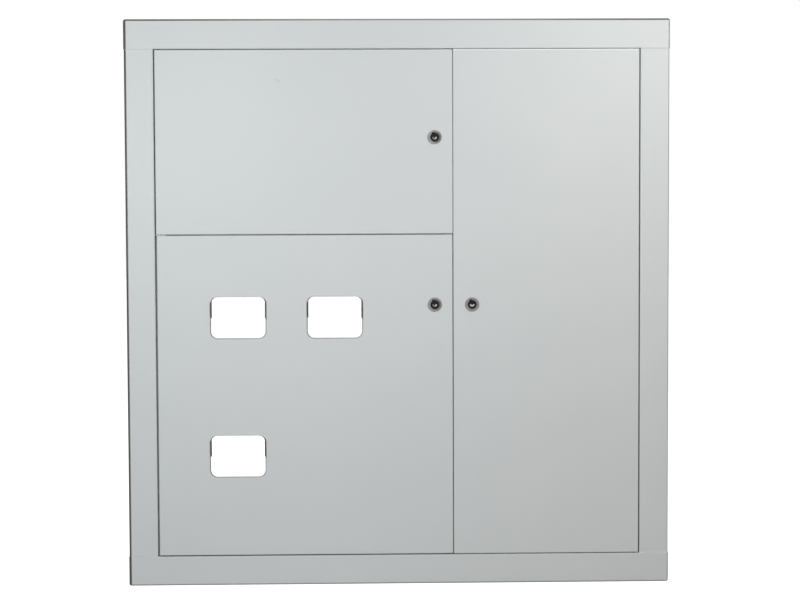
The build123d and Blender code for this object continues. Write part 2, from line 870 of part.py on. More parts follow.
save("earth_bar", terminal_bar(rails_middle + bar_from_middle))
save("earth_supports", bar_supports(rails_middle + bar_from_middle))
save("signal_plate", signal_plate())

# Doors
meter_panel = door_panel(meter_box, left_pin_x, meter_lock)
for window in windows:
    meter_panel -= slot_y(window, front_y - 1, door_sheet + 2, window_width, window_height, window_corner)
save("upper_door_panel", door_panel(upper_box, left_pin_x, upper_lock))
save("meter_door_panel", meter_panel)
save("tall_door_panel", door_panel(tall_box, right_pin_x, tall_lock))
save("upper_door_pin_tabs", pin_tabs(upper_box, left_pin_x))
save("meter_door_pin_tabs", pin_tabs(meter_box, left_pin_x))
save("tall_door_pin_tabs", pin_tabs(tall_box, right_pin_x))
save("upper_door_hinge_pin", hinge_pin(left_pin_x, upper_box[3], upper_top_gap, True))
save("meter_door_hinge_pin", hinge_pin(left_pin_x, meter_box[2], meter_bottom_gap, False))
tall_top_pin = hinge_pin(right_pin_x, tall_box[3], tall_top_gap, True)
tall_bottom_pin = hinge_pin(right_pin_x, tall_box[2], tall_bottom_gap, False)
save("tall_door_hinge_pins", [tall_top_pin, tall_bottom_pin])
save("meter_door_stiffener", stiffener(window_x + window_pitch_x / 2, meter_box[2], meter_box[3]))
save("tall_door_stiffener", stiffener((tall_box[0] + tall_box[1]) / 2, tall_box[2], tall_box[3]))
save("window_clips", window_clips())
save("upper_door_earth_stud", earth_stud(upper_box[0] + stud_inset, upper_box[2] + stud_inset))
save("meter_door_earth_stud", earth_stud(meter_box[0] + stud_inset, meter_box[2] + stud_inset))
save("tall_door_earth_stud", earth_stud(tall_box[1] - stud_inset, tall_box[2] + stud_inset))

# Locks
for door, lock in (("upper", upper_lock), ("meter", meter_lock), ("tall", tall_lock)):
    save(f"{door}_lock_housing", lock_housing(lock))
    save(f"{door}_lock_nut", lock_nut(lock))
    save(f"{door}_lock_rotor", lock_rotor(lock))
    save(f"{door}_lock_cam", lock_cam(lock))
    save(f"{door}_lock_cam_screw", cam_screw(lock))
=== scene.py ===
import json
import math

import bpy
from mathutils import Euler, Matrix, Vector


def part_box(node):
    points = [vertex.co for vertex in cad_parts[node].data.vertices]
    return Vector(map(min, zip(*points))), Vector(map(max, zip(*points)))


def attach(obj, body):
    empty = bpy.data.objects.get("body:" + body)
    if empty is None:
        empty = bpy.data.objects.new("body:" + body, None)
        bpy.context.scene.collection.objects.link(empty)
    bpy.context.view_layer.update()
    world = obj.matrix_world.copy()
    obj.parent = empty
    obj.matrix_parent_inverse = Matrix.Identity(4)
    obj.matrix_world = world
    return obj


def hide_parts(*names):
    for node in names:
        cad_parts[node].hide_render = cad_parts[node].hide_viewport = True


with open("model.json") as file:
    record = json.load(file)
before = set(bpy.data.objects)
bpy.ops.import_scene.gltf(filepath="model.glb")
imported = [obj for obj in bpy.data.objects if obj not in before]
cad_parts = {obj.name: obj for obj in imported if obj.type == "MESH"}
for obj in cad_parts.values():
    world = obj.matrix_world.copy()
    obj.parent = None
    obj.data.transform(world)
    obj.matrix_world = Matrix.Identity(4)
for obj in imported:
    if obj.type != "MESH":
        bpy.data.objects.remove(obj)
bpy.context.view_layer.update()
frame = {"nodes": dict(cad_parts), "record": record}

nodes = frame["nodes"]
scene = bpy.context.scene
mm = 0.001
print("frame loaded:", len(nodes), "nodes")

# Places read off the frame
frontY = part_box("trim_top")[0].y
boardLow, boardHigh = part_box("trim_bottom")[0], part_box("trim_top")[1]
frontLimit = frontY + 0.1 * mm     # what lies before this is on the front face
sideStrip = [vertex.co for vertex in nodes["trim_left"].data.vertices if vertex.co.y < frontLimit]
seamHeights = {"top": max(co.z for co in sideStrip), "bottom": min(co.z for co in sideStrip)}


# Shader helpers

def startMaterial(name):
    mat = bpy.data.materials.new(name)
    mat.use_nodes = True
    tree = mat.node_tree
    place = tree.nodes.new("ShaderNodeTexCoord").outputs["Object"]
    return mat, tree, tree.nodes["Principled BSDF"], place


def plug(tree, socket, value):
    if isinstance(value, (int, float)):
        socket.default_value = value
    elif isinstance(value, tuple):
        socket.default_value = (*value, 1.0) if len(socket.default_value) == 4 else value
    else:
        tree.links.new(value, socket)


def sums(tree, kind, first, second=0.0):
    node = tree.nodes.new("ShaderNodeMath")
    node.operation = kind
    plug(tree, node.inputs[0], first)
    plug(tree, node.inputs[1], second)
    return node.outputs["Value"]


def product(tree, first, *others):
    for factor in others:
        first = sums(tree, "MULTIPLY", first, factor)
    return first


def strongest(tree, first, *others):
    for mask in others:
        first = sums(tree, "MAXIMUM", first, mask)
    return first


def noise(tree, place, spec):
    if "stretch" in spec:                          # scale per axis, for brushed and rolled marks
        mapping = tree.nodes.new("ShaderNodeMapping")
        mapping.inputs["Scale"].default_value = spec["stretch"]
        tree.links.new(place, mapping.inputs["Vector"])
        place = mapping.outputs["Vector"]
    texture = tree.nodes.new("ShaderNodeTexNoise")
    texture.inputs["Scale"].default_value = spec["scale"]
    texture.inputs["Detail"].default_value = spec.get("detail", 3.0)
    texture.inputs["Roughness"].default_value = spec.get("roughness", 0.5)
    tree.links.new(place, texture.inputs["Vector"])
    return texture.outputs["Fac"]


def spread(tree, value, low, high, toLow, toHigh):
    remap = tree.nodes.new("ShaderNodeMapRange")
    remap.interpolation_type = "SMOOTHSTEP"
    for name, number in (("From Min", low), ("From Max", high), ("To Min", toLow), ("To Max", toHigh)):
        remap.inputs[name].default_value = number
    tree.links.new(value, remap.inputs["Value"])
    return remap.outputs["Result"]


def patches(tree, place, spec, toLow=0.0, toHigh=1.0):
    return spread(tree, noise(tree, place, spec), *spec["band"], toLow, toHigh)


def fade(tree, value, start, band, toLow, toHigh):
    return spread(tree, value, start + band[0], start + band[1], toLow, toHigh)


def blendColour(tree, factor, first, second):
    node = tree.nodes.new("ShaderNodeMix")
    node.data_type = "RGBA"
    colourInputs = [socket for socket in node.inputs if socket.type == "RGBA"]
    plug(tree, colourInputs[0], first)
    plug(tree, colourInputs[1], second)
    tree.links.new(factor, node.inputs["Factor"])
    return [socket for socket in node.outputs if socket.type == "RGBA"][0]


def shaded(tree, colour, factor):
    node = tree.nodes.new("ShaderNodeVectorMath")
    node.operation = "SCALE"
    tree.links.new(colour, node.inputs["Vector"])
    tree.links.new(factor, node.inputs["Scale"])
    return node.outputs["Vector"]


def bump(tree, height, depth, strength=1.0, below=None):
    node = tree.nodes.new("ShaderNodeBump")
    node.inputs["Strength"].default_value = strength
    node.inputs["Distance"].default_value = depth
    tree.links.new(height, node.inputs["Height"])
    if below:
        tree.links.new(below, node.inputs["Normal"])
    return node.outputs["Normal"]


def finishShader(tree, shader, colour, rough, normal, metallic=0.0):
    tree.links.new(colour, shader.inputs["Base Color"])
    tree.links.new(rough, shader.inputs["Roughness"])
    tree.links.new(normal, shader.inputs["Normal"])
    shader.inputs["Metallic"].default_value = metallic


def axes(tree, place):
    split = tree.nodes.new("ShaderNodeSeparateXYZ")
    tree.links.new(place, split.inputs["Vector"])
    return split.outputs["X"], split.outputs["Y"], split.outputs["Z"]


def offsets(tree, place, middleX, middleZ):
    x, _, z = axes(tree, place)
    return sums(tree, "SUBTRACT", x, middleX), sums(tree, "SUBTRACT", z, middleZ)


# Powder coat of the doors, the trim and the box

paintLook = {
    "colour": (0.596, 0.624, 0.630),
    "paler": (0.612, 0.638, 0.642),
    "cloud": {"scale": 3.0, "detail": 4.0, "band": (0.35, 0.65)},
    "dustColour": (0.52, 0.52, 0.50),
    "dust": {"scale": 260.0, "detail": 6.0, "roughness": 0.7, "band": (0.62, 0.80)},
    "dustAmount": 0.25,
    "sheen": {"scale": 240.0, "detail": 5.0, "band": (0.3, 0.7)},
    "rough": (0.40, 0.46),
    "peel": {"scale": 620.0, "detail": 2.0},       # orange peel
    "peelDepth": 0.03 * mm,
    "peelStrength": 0.6,
    "shine": (0.5, 0.1),           # of the paint, of an edge with painted shade
    # near-black painted shade, on the outer arrises and round the windows
    "edgeShadeColour": (0.055, 0.048, 0.045),
    "rimDepth": 2.6 * mm,          # how far back from the face the painted shade on the arris reaches
    "rimFade": 1.0 * mm,
    "rims": {                      # painted shade on each outer arris: full to, gone at, how dark
        "left": (3.6 * mm, 5.8 * mm, 0.92),
        "right": (1.6 * mm, 3.4 * mm, 0.48),
        "top": (2.2 * mm, 3.6 * mm, 0.93),
        "bottom": (1.6 * mm, 3.4 * mm, 0.56),
    },
    "topMiddle": 0.62,             # the painted shade on the top arris is weaker halfway along
    "topSpan": (0.08, 0.45),       # metres from halfway, where that shade starts to grow and is full
    "seamBand": (0.6 * mm, 1.5 * mm),  # full to, gone at
    "seamLightAndShadeEnds": {                # painted highlight (above 1) and painted shade (below 1) beside the seams, at the left end and at the right end
        "top": (1.0, 0.86),
        "bottom": (1.13, 1.30),
    },
    "seamReach": 0.9,              # share of the board's half width where the end shades are reached
    "gapLightAndShade": {"top": 1.26, "bottom": 0.86},    # and along the doors, where the edge meets the gap: painted highlight at the top, painted shade at the bottom
    "gapFade": 3.0 * mm,
    "doorTopHighlights": (1.12, 1.30),     # painted highlight along the rolled top edge of the upper door and of the tall door
    "doorTopBand": (-3.0 * mm, -1.2 * mm),
    "doorChange": (-2.0 * mm, 0.0),    # where the one highlight gives way to the other
}

# painted shade: a dark line on the door paint round each window, stronger at the sides and beside the
# clips
windowShadeLook = {
    "width": 96 * mm,
    "height": 72.5 * mm,
    "corner": 12 * mm,
    "line": (1.2 * mm, 2.2 * mm),  # full to, gone at: the painted shade line round a window
    "left": 0.78,
    "right": 0.58,
    "top": 0.2,                    # shares of that darkness left along the top and the bottom
    "bottom": 0.7,
    "endFade": 2.0 * mm,
    "clipLine": (1.4 * mm, 2.7 * mm),
    "clipSide": 0.92,              # painted shade, darker beside the clips
    "clipDrop": 22 * mm,
    "clipHalf": (14 * mm, 19 * mm),    # at the left side, at the right side
    "clipChange": (-1.0 * mm, 1.0 * mm),
    "clipFade": (-3.0 * mm, 2.0 * mm),
}


# Painted shade: a near-black band along the board's outer arrises, darkest on the left and top
def arrisShadeMask(tree, place, look):
    x, y, z = axes(tree, place)
    gaps = {
        "left": sums(tree, "SUBTRACT", x, boardLow.x),
        "right": sums(tree, "SUBTRACT", boardHigh.x, x),
        "top": sums(tree, "SUBTRACT", boardHigh.z, z),
        "bottom": sums(tree, "SUBTRACT", z, boardLow.z),
    }
    bands = {}
    for side, gap in gaps.items():
        full, end, amount = look["rims"][side]
        bands[side] = spread(tree, gap, full, end, amount, 0.0)
    fromMiddle = sums(tree, "ABSOLUTE", x)
    topShadeShare = spread(tree, fromMiddle, *look["topSpan"], look["topMiddle"], 1.0)
    bands["top"] = product(tree, bands["top"], topShadeShare)
    near = fade(tree, y, frontY + look["rimDepth"], (0.0, look["rimFade"]), 1.0, 0.0)
    return product(tree, strongest(tree, *bands.values()), near)


# Painted highlight and painted shade on the frame paint beside the seams and along the door gaps
def seamLightAndShade(tree, place, look):
    x, _, z = axes(tree, place)
    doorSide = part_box("tall_door_panel")[1].x
    fromMiddle = sums(tree, "ABSOLUTE", x)
    alongDoors = fade(tree, fromMiddle, doorSide, (0.0, look["gapFade"]), 1.0, 0.0)
    ends = (boardLow.x * look["seamReach"], boardHigh.x * look["seamReach"])
    whole = 1.0
    for side, (leftEnd, rightEnd) in look["seamLightAndShadeEnds"].items():
        distance = sums(tree, "ABSOLUTE", sums(tree, "SUBTRACT", z, seamHeights[side]))
        band = spread(tree, distance, *look["seamBand"], 1.0, 0.0)
        seam = spread(tree, x, *ends, leftEnd - 1.0, rightEnd - 1.0)
        rest = sums(tree, "SUBTRACT", look["gapLightAndShade"][side] - 1.0, seam)
        amount = sums(tree, "ADD", seam, product(tree, alongDoors, rest))
        whole = sums(tree, "ADD", whole, product(tree, band, amount))
    return whole


# Painted highlight along the top edge of the upper door and the tall door
def doorTopHighlight(tree, place, look):
    x, _, z = axes(tree, place)
    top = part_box("tall_door_panel")[1].z
    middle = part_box("tall_door_panel")[0].x
    upperDoor, tallDoor = look["doorTopHighlights"]
    band = fade(tree, z, top, look["doorTopBand"], 0.0, 1.0)
    amount = fade(tree, x, middle, look["doorChange"], upperDoor - 1.0, tallDoor - 1.0)
    return sums(tree, "ADD", 1.0, product(tree, band, amount))


# Painted shade round one window.
def windowShadeOutline(tree, place, middle, look):
    fromX, fromZ = offsets(tree, place, middle.x, middle.z)
    halfWidth, halfHeight = look["width"] / 2, look["height"] / 2
    beyond = []
    for offset, half in ((fromX, halfWidth), (fromZ, halfHeight)):
        past = sums(tree, "SUBTRACT", sums(tree, "ABSOLUTE", offset), half - look["corner"])
        beyond.append(sums(tree, "POWER", sums(tree, "MAXIMUM", past, 0.0), 2.0))
    radius = sums(tree, "SQRT", sums(tree, "ADD", *beyond))
    past = sums(tree, "SUBTRACT", radius, look["corner"])
    line = spread(tree, past, *look["line"], 1.0, 0.0)
    sides = spread(tree, fromX, -halfWidth, halfWidth, look["left"], look["right"])
    top = fade(tree, fromZ, halfHeight, (-look["endFade"], 0.0), 1.0, look["top"])
    bottom = fade(tree, fromZ, -halfHeight, (0.0, look["endFade"]), look["bottom"], 1.0)
    clipHalf = spread(tree, fromX, *look["clipChange"], *look["clipHalf"])
    fromClip = sums(tree, "SUBTRACT", fromZ, halfHeight - look["clipDrop"])
    pastClip = sums(tree, "SUBTRACT", sums(tree, "ABSOLUTE", fromClip), clipHalf)
    beside = spread(tree, pastClip, *look["clipFade"], look["clipSide"], 0.0)
    clipLine = spread(tree, past, *look["clipLine"], 1.0, 0.0)
    edge = product(tree, sides, top, bottom, line)
    return strongest(tree, edge, product(tree, clipLine, beside))


def windowShadeLines(tree, place, look):
    lines = []
    for entry in frame["record"]["physics"]["openings"]:
        if entry["name"].startswith("window"):
            low, high = (Vector(corner) for corner in entry["box_m"])
            lines.append(windowShadeOutline(tree, place, (low + high) / 2, look))
    return strongest(tree, *lines)


scuffLook = {                      # the faint slanted scuff near the upper door's left corner
    "x": -211 * mm,
    "z": 392.5 * mm,
    "slant": -29.0,                # degrees
    "long": 6.0 * mm,
    "wide": 2.4 * mm,
    "fade": (0.1, 1.3),            # full to, gone at, as a squared share of its size
    "colour": (0.22, 0.23, 0.23),
    "amount": 0.16,
}


def scuffMask(tree, place, look):
    fromX, fromZ = offsets(tree, place, look["x"], look["z"])
    slant = math.radians(look["slant"])
    turnX, turnZ = math.cos(slant), math.sin(slant)
    along = sums(tree, "ADD", product(tree, fromX, turnX), product(tree, fromZ, turnZ))
    across = sums(tree, "SUBTRACT", product(tree, fromZ, turnX), product(tree, fromX, turnZ))
    longPart = sums(tree, "POWER", sums(tree, "DIVIDE", along, look["long"]), 2.0)
    widePart = sums(tree, "POWER", sums(tree, "DIVIDE", across, look["wide"]), 2.0)
    return spread(tree, sums(tree, "ADD", longPart, widePart), *look["fade"], look["amount"], 0.0)


def powderCoat(name, rim, look=paintLook):
    mat, tree, shader, place = startMaterial(name)
    base = blendColour(tree, patches(tree, place, look["cloud"]), look["colour"], look["paler"])
    speck = patches(tree, place, look["dust"], 0.0, look["dustAmount"])
    base = blendColour(tree, speck, base, look["dustColour"])
    # painted highlight and painted shade: beside the seams and gaps on the frame, along the top edges
    # on the doors
    shade = seamLightAndShade(tree, place, look) if rim else doorTopHighlight(tree, place, look)
    base = shaded(tree, base, shade)
    # painted shade: along the outer arrises on the frame, round the windows on the doors
    paintedShadeMask = arrisShadeMask(tree, place, look) if rim else windowShadeLines(tree, place, windowShadeLook)
    base = blendColour(tree, paintedShadeMask, base, look["edgeShadeColour"])
    if not rim:
        base = blendColour(tree, scuffMask(tree, place, scuffLook), base, scuffLook["colour"])
    shine = spread(tree, paintedShadeMask, 0.0, 1.0, *look["shine"])
    tree.links.new(shine, shader.inputs["Specular IOR Level"])
    rough = patches(tree, place, look["sheen"], *look["rough"])
    relief = bump(tree, noise(tree, place, look["peel"]), look["peelDepth"], look["peelStrength"])
    finishShader(tree, shader, base, rough, relief)
    return mat


# Bare metals and plastics

galvanisedLook = {
    "dark": (0.34, 0.36, 0.38),
    "light": (0.56, 0.58, 0.60),
    "spangle": 70.0,               # crystals per metre
    "grain": {"scale": 420.0, "detail": 4.0, "roughness": 0.6},
    "grainShare": 0.3,             # the rest of the shade comes from the crystals
    "shadeBand": (0.1, 0.9),       # the shades between which the roughness changes
    "rough": (0.34, 0.52),
}

plainMetal = {                     # what the plain metals share
    "stain": {"scale": 90.0, "band": (0.35, 0.65)},
    "stainShare": 0.5,
    "shadeBand": (0.2, 0.8),
}

fineRelief = {"depth": 0.01 * mm, "strength": 0.5}

metalLooks = {
    "zincPlating": {
        "dark": (0.30, 0.29, 0.26),
        "light": (0.46, 0.45, 0.41),
        "rough": (0.26, 0.40),
        "grain": {"scale": 700.0, "detail": 5.0, "roughness": 0.6},
    },
    # painted shade: the window clips are coloured near black
    "clipPaintedShade": {
        "dark": (0.012, 0.011, 0.010),
        "light": (0.03, 0.028, 0.026),
        "rough": (0.4, 0.55),
        "grain": {"scale": 500.0, "detail": 5.0, "roughness": 0.6},
        "metallic": 0.0,           # near black, not metallic: painted shade on the window clips
    },
    "rolledBrass": {
        "dark": (0.56, 0.39, 0.15),
        "light": (0.74, 0.55, 0.25),
        "rough": (0.24, 0.40),
        "grain": {"scale": 60.0, "detail": 5.0, "roughness": 0.6, "stretch": (1.0, 14.0, 14.0)},
    },
    # near black: painted shade on the hinge pins in the gap corners
    "pinsInPaintedShade": {
        "dark": (0.03, 0.028, 0.026),
        "light": (0.06, 0.056, 0.05),
        "rough": (0.4, 0.55),
        "grain": {"scale": 500.0, "detail": 5.0, "roughness": 0.6},
    },
}

plasticLook = {
    "cloud": {"scale": 120.0, "band": (0.3, 0.7)},
    "rough": (0.42, 0.56),
    "texture": {"scale": 1400.0, "detail": 2.0},
    "colours": {                   # deeper, paler
        "bluePlastic": ((0.018, 0.085, 0.34), (0.026, 0.11, 0.42)),
        "greenPlastic": ((0.05, 0.24, 0.05), (0.07, 0.31, 0.07)),
    },
}


def galvanisedSheet(look=galvanisedLook):
    mat, tree, shader, place = startMaterial("galvanisedSheet")
    cells = tree.nodes.new("ShaderNodeTexVoronoi")
    cells.inputs["Scale"].default_value = look["spangle"]
    tree.links.new(place, cells.inputs["Vector"])
    split = tree.nodes.new("ShaderNodeSeparateColor")
    tree.links.new(cells.outputs["Color"], split.inputs["Color"])
    grain = noise(tree, place, look["grain"])
    crystals = product(tree, split.outputs["Red"], 1.0 - look["grainShare"])
    shade = sums(tree, "ADD", crystals, product(tree, grain, look["grainShare"]))
    colour = blendColour(tree, shade, look["dark"], look["light"])
    rough = spread(tree, shade, *look["shadeBand"], *look["rough"])
    relief = bump(tree, grain, fineRelief["depth"], fineRelief["strength"])
    finishShader(tree, shader, colour, rough, relief, 1.0)
    return mat


def bareMetal(name, common=plainMetal):
    look = metalLooks[name]
    mat, tree, shader, place = startMaterial(name)
    grain = noise(tree, place, look["grain"])
    stain = patches(tree, place, common["stain"])
    shade = product(tree, sums(tree, "ADD", grain, stain), common["stainShare"])
    colour = blendColour(tree, shade, look["dark"], look["light"])
    rough = spread(tree, shade, *common["shadeBand"], *look["rough"])
    relief = bump(tree, grain, fineRelief["depth"], fineRelief["strength"])
    finishShader(tree, shader, colour, rough, relief, look.get("metallic", 1.0))
    return mat


def mouldedPlastic(name, look=plasticLook):
    mat, tree, shader, place = startMaterial(name)
    cloud = noise(tree, place, look["cloud"])
    colour = blendColour(tree, cloud, *look["colours"][name])
    rough = spread(tree, cloud, *look["cloud"]["band"], *look["rough"])
    texture = noise(tree, place, look["texture"])
    relief = bump(tree, texture, fineRelief["depth"], fineRelief["strength"])
    finishShader(tree, shader, colour, rough, relief)
    return mat


# Locks: satin casting with painted shade in and round the keyway, and a half post inside it

lockLook = {
    "casting": (0.15, 0.147, 0.143),
    "castingPaler": (0.25, 0.247, 0.24),
    "castingGrain": {"scale": 1700.0, "detail": 3.0, "band": (0.3, 0.7)},
    "castingRough": (0.34, 0.50),
    "roughBand": (0.2, 0.8),       # of the grain, on the casting and on the core
    # near-black painted shade in the keyway's recess and on the core inside it
    "keyway": (0.020, 0.018, 0.017),
    "keywayRadius": 9.6 * mm,
    "keywayFade": (0.0, 0.05 * mm),
    "keywayStart": (0.1 * mm, 0.6 * mm),   # behind the bezel's face
    "ringShade": (7.4 * mm, 11.2 * mm),    # painted shade that fades outwards from the keyway over the ring
    "ringShadeAmount": {"upper": 0.80, "meter": 0.76, "tall": 0.50},
    "ringShadeShift": {"upper": 1.2 * mm, "meter": 1.0 * mm, "tall": 0.0},
    "postBright": (0.36, 0.35, 0.34),
    "postFace": (0.15 * mm, 0.5 * mm),     # only the post's front keeps the bright metal tone; the rest of the core has the keyway's painted shade
    "postLeftShade": {"upper": 0.66, "meter": 0.62, "tall": 0.0},   # painted shade on the half post's left part
    "postLeftShadeBand": (-1.0 * mm, 2.6 * mm),     # full to, gone at, from the middle
    "steel": (0.34, 0.33, 0.31),
    "steelStart": (15.0 * mm, 20.0 * mm),      # the painted shade on the core gives way to steel this far behind the board's face
    "scuffs": {"band": (0.55, 0.8), "amount": 0.4},
    "coreGrain": {"scale": 1700.0, "detail": 4.0},
    "coreRough": (0.22, 0.38),
    "grainDepth": 0.02 * mm,
    "grainStrength": {"casting": 0.5, "core": 0.4},
    "threadPitch": 1.0 * mm,
    "threadDepth": 0.35 * mm,
    "threadStart": (1.5 * mm, 2.0 * mm),       # behind the board's face
}


def radiusFrom(tree, place, middleX, middleZ):
    acrossX, acrossZ = offsets(tree, place, middleX, middleZ)
    squares = (sums(tree, "POWER", across, 2.0) for across in (acrossX, acrossZ))
    return sums(tree, "SQRT", sums(tree, "ADD", *squares))


def lockCasting(key, centre, look=lockLook):
    mat, tree, shader, place = startMaterial(key + "LockCasting")
    y = axes(tree, place)[1]
    grain = noise(tree, place, look["castingGrain"])
    tone = spread(tree, grain, *look["castingGrain"]["band"], 0.0, 1.0)
    base = blendColour(tree, tone, look["casting"], look["castingPaler"])
    radius = radiusFrom(tree, place, centre.x, centre.z)
    # painted shade inside the keyway's recess
    inside = fade(tree, radius, look["keywayRadius"], look["keywayFade"], 1.0, 0.0)
    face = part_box(key + "_lock_housing")[0].y
    deep = fade(tree, y, face, look["keywayStart"], 0.0, 1.0)
    # painted shade over the ring, shifted right on the upper and meter locks
    fromRingShade = radiusFrom(tree, place, centre.x + look["ringShadeShift"][key], centre.z)
    ringShade = spread(tree, fromRingShade, *look["ringShade"], look["ringShadeAmount"][key], 0.0)
    dark = strongest(tree, product(tree, inside, deep), ringShade)
    colour = blendColour(tree, dark, base, look["keyway"])
    rough = spread(tree, grain, *look["roughBand"], *look["castingRough"])
    turn = sums(tree, "SINE", product(tree, y, 2 * math.pi / look["threadPitch"]))
    threaded = fade(tree, y, frontY, look["threadStart"], 0.0, 1.0)
    thread = bump(tree, product(tree, turn, threaded), look["threadDepth"])
    relief = bump(tree, grain, look["grainDepth"], look["grainStrength"]["casting"], thread)
    finishShader(tree, shader, colour, rough, relief, 1.0)
    return mat


def lockCore(key, centre, look=lockLook):
    mat, tree, shader, place = startMaterial(key + "LockCore")
    x, y, _ = axes(tree, place)
    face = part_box(key + "_lock_rotor")[0].y
    grain = noise(tree, place, look["coreGrain"])
    front = fade(tree, y, face, look["postFace"], 1.0, 0.0)
    rear = fade(tree, y, frontY, look["steelStart"], 0.0, 1.0)
    # painted shade on the core, giving way to steel further back
    base = blendColour(tree, rear, look["keyway"], look["steel"])
    # painted shade on the post's left part
    fromMiddle = sums(tree, "SUBTRACT", x, centre.x)
    leftShade = spread(tree, fromMiddle, *look["postLeftShadeBand"], look["postLeftShade"][key], 0.0)
    base = blendColour(tree, front, base, blendColour(tree, leftShade, look["postBright"], look["keyway"]))
    scuffs = spread(tree, grain, *look["scuffs"]["band"], 0.0, look["scuffs"]["amount"])
    colour = blendColour(tree, scuffs, base, look["casting"])
    rough = spread(tree, grain, *look["roughBand"], *look["coreRough"])
    relief = bump(tree, grain, look["grainDepth"], look["grainStrength"]["core"])
    finishShader(tree, shader, colour, rough, relief, 1.0)
    return mat


framePaint = powderCoat("framePaint", True)
doorPaint = powderCoat("doorPaint", False)
zincPlating = bareMetal("zincPlating")
finishes = {
    "frame_paint": framePaint,
    "door_paint": doorPaint,
    "galvanised": galvanisedSheet(),
    "fastener": zincPlating,
    "clip_black": bareMetal("clipPaintedShade"),
    "bar_brass": bareMetal("rolledBrass"),
    "support_blue": mouldedPlastic("bluePlastic"),
    "support_green": mouldedPlastic("greenPlastic"),
}
darkPins = bareMetal("pinsInPaintedShade")
lockCentres = {}
for key in ("upper", "meter", "tall"):
    low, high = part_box(key + "_lock_housing")
    lockCentres[key] = (low + high) / 2
for entry in frame["record"]["subparts"]:
    name, slotName = entry["node"], entry["material_slot"]
    # the hinge pins take the near-black painted shade
    if "hinge" in name and slotName == "fastener":
        finish = darkPins
    elif slotName in finishes:
        finish = finishes[slotName]
    else:
        key = name.split("_")[0]
        make = lockCasting if slotName == "zinc_lock" else lockCore
        finish = make(key, lockCentres[key])
    for holder in nodes[name].material_slots:
        holder.material = finish
print("finishes assigned:", len(bpy.data.materials))


# Screws and spot welds, set on points by Geometry Nodes

def startTree(name, sizes):
    tree = bpy.data.node_groups.new(name, "GeometryNodeTree")
    tree.interface.new_socket("Geometry", in_out="INPUT", socket_type="NodeSocketGeometry")
    for label in sizes:
        tree.interface.new_socket(label, in_out="INPUT", socket_type="NodeSocketFloat")
    tree.interface.new_socket("Geometry", in_out="OUTPUT", socket_type="NodeSocketGeometry")
    return tree, tree.nodes.new("NodeGroupInput"), tree.nodes.new("NodeGroupOutput")


def treeNode(tree, kind, **links):
    node = tree.nodes.new(kind)
    for label, value in links.items():
        plug(tree, node.inputs[label.replace("_", " ")], value)
    return node


def combine(tree, x, y, z):
    return treeNode(tree, "ShaderNodeCombineXYZ", X=x, Y=y, Z=z).outputs["Vector"]


def lifted(tree, mesh, height):
    lift = combine(tree, 0.0, 0.0, height)
    return treeNode(tree, "GeometryNodeTransform", Geometry=mesh, Translation=lift).outputs["Geometry"]


def frustum(tree, low, high, height, base, sides):
    cone = treeNode(tree, "GeometryNodeMeshCone", Vertices=sides, Radius_Top=high,
                    Radius_Bottom=low, Depth=height)
    return lifted(tree, cone.outputs["Mesh"], base)


def bar(tree, length, width, depth, top):
    size = combine(tree, length, width, product(tree, depth, 2.0))
    cube = treeNode(tree, "GeometryNodeMeshCube", Size=size)
    return lifted(tree, cube.outputs["Mesh"], top)


def boolean(tree, kind, shapes, keep=None):
    node = tree.nodes.new("GeometryNodeMeshBoolean")
    node.operation = kind
    node.solver = "MANIFOLD"
    if keep:
        tree.links.new(keep, node.inputs["Mesh 1"])
    for shape in shapes:
        tree.links.new(shape, node.inputs["Mesh 2"])
    return node.outputs["Mesh"]


def setOnPoints(tree, start, end, shape, seed=7):
    points = treeNode(tree, "GeometryNodeMeshToPoints", Mesh=start.outputs["Geometry"])
    placed = treeNode(tree, "GeometryNodeInstanceOnPoints", Points=points.outputs["Points"],
                      Instance=shape)
    spin = treeNode(tree, "FunctionNodeRandomValue", Seed=seed)
    spin.inputs[2].default_value = 0.0             # the least and the most that a head is turned
    spin.inputs[3].default_value = math.pi
    turned = treeNode(tree, "GeometryNodeRotateInstances", Instances=placed.outputs["Instances"],
                      Rotation=combine(tree, 0.0, 0.0, spin.outputs[1]))
    real = treeNode(tree, "GeometryNodeRealizeInstances", Geometry=turned.outputs["Instances"])
    dressed = treeNode(tree, "GeometryNodeSetMaterial", Geometry=real.outputs["Geometry"])
    tree.links.new(dressed.outputs["Geometry"], end.inputs["Geometry"])
    return dressed


screwShape = {                     # shares of the head's height and radius
    "skirt": 0.45,
    "shoulder": 0.94,
    "crown": 0.60,
    "cross": 1.05,
    "sides": 28,
}

weldShape = {
    "top": 0.72,
    "sides": 20,
}


def screwTree(shape=screwShape):
    labels = ("Head Radius", "Head Height", "Recess Width", "Recess Depth")
    tree, start, end = startTree("screwHeads", labels)
    radius, height, width, depth = (start.outputs[label] for label in labels)
    skirt = product(tree, height, shape["skirt"])
    crown = sums(tree, "SUBTRACT", height, skirt)
    wide = product(tree, radius, shape["shoulder"])
    narrow = product(tree, radius, shape["crown"])
    lower = frustum(tree, radius, wide, skirt, 0.0, shape["sides"])
    upper = frustum(tree, wide, narrow, crown, skirt, shape["sides"])
    reach = product(tree, radius, shape["cross"])
    head = boolean(tree, "UNION", [lower, upper])
    cross = [bar(tree, reach, width, depth, height), bar(tree, width, reach, depth, height)]
    return tree, setOnPoints(tree, start, end, boolean(tree, "DIFFERENCE", cross, head))


def weldTree(shape=weldShape):
    labels = ("Spot Radius", "Spot Height")
    tree, start, end = startTree("spotWelds", labels)
    radius, height = (start.outputs[label] for label in labels)
    disc = frustum(tree, radius, product(tree, radius, shape["top"]), height, 0.0, shape["sides"])
    return tree, setOnPoints(tree, start, end, disc)


